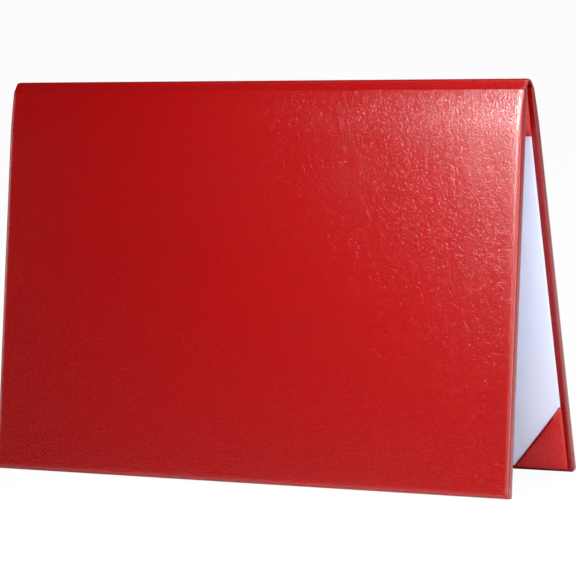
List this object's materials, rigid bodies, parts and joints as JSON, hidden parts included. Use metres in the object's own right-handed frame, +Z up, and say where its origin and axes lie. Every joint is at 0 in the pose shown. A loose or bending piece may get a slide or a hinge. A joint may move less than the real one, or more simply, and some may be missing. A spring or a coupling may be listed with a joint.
{
  "type": "diploma cover",
  "caption": "Padded red leatherette diploma cover, hinged along its long side and standing open as a tent, with a pale lining panel and folded corner pockets inside.",
  "frame": {"origin": "on the floor, midway between the two standing edges, under the middle of the fold", "axes": "+X along the fold, to the right of someone who faces the front panel; +Y from the front panel to the back one; +Z up"},
  "size_m": [0.314, 0.085, 0.2116],
  "materials": {
    "leatherette": "fine pebbled grain with a soft gloss",
    "trim_leatherette": "fine pebbled grain, thin and slightly matt",
    "lining": "smooth pale paper-like cloth",
    "inner_card": "matt card",
    "cover_board": "matt grey board",
    "padding_foam": "matt open foam"
  },
  "bodies": {
    "back_cover": {"back_leatherette": "leatherette", "back_padding": "padding_foam", "back_board": "cover_board", "back_inner_card": "inner_card", "back_lining": "lining", "back_hinge_liner": "trim_leatherette", "back_left_corner_pocket": "trim_leatherette", "back_right_corner_pocket": "trim_leatherette"},
    "front_cover": {"front_leatherette": "leatherette", "front_padding": "padding_foam", "front_board": "cover_board", "front_inner_card": "inner_card", "front_lining": "lining", "front_hinge_liner": "trim_leatherette", "front_left_corner_pocket": "trim_leatherette", "front_right_corner_pocket": "trim_leatherette"}
  },
  "joints": [
    {"name": "cover_hinge", "type": "hinge", "parent": "back_cover", "child": "front_cover", "pos_m": [0, 0, 0.21153], "axis": [-1, 0, 0], "range_deg": [-18.8, 160.6]}
  ]
}
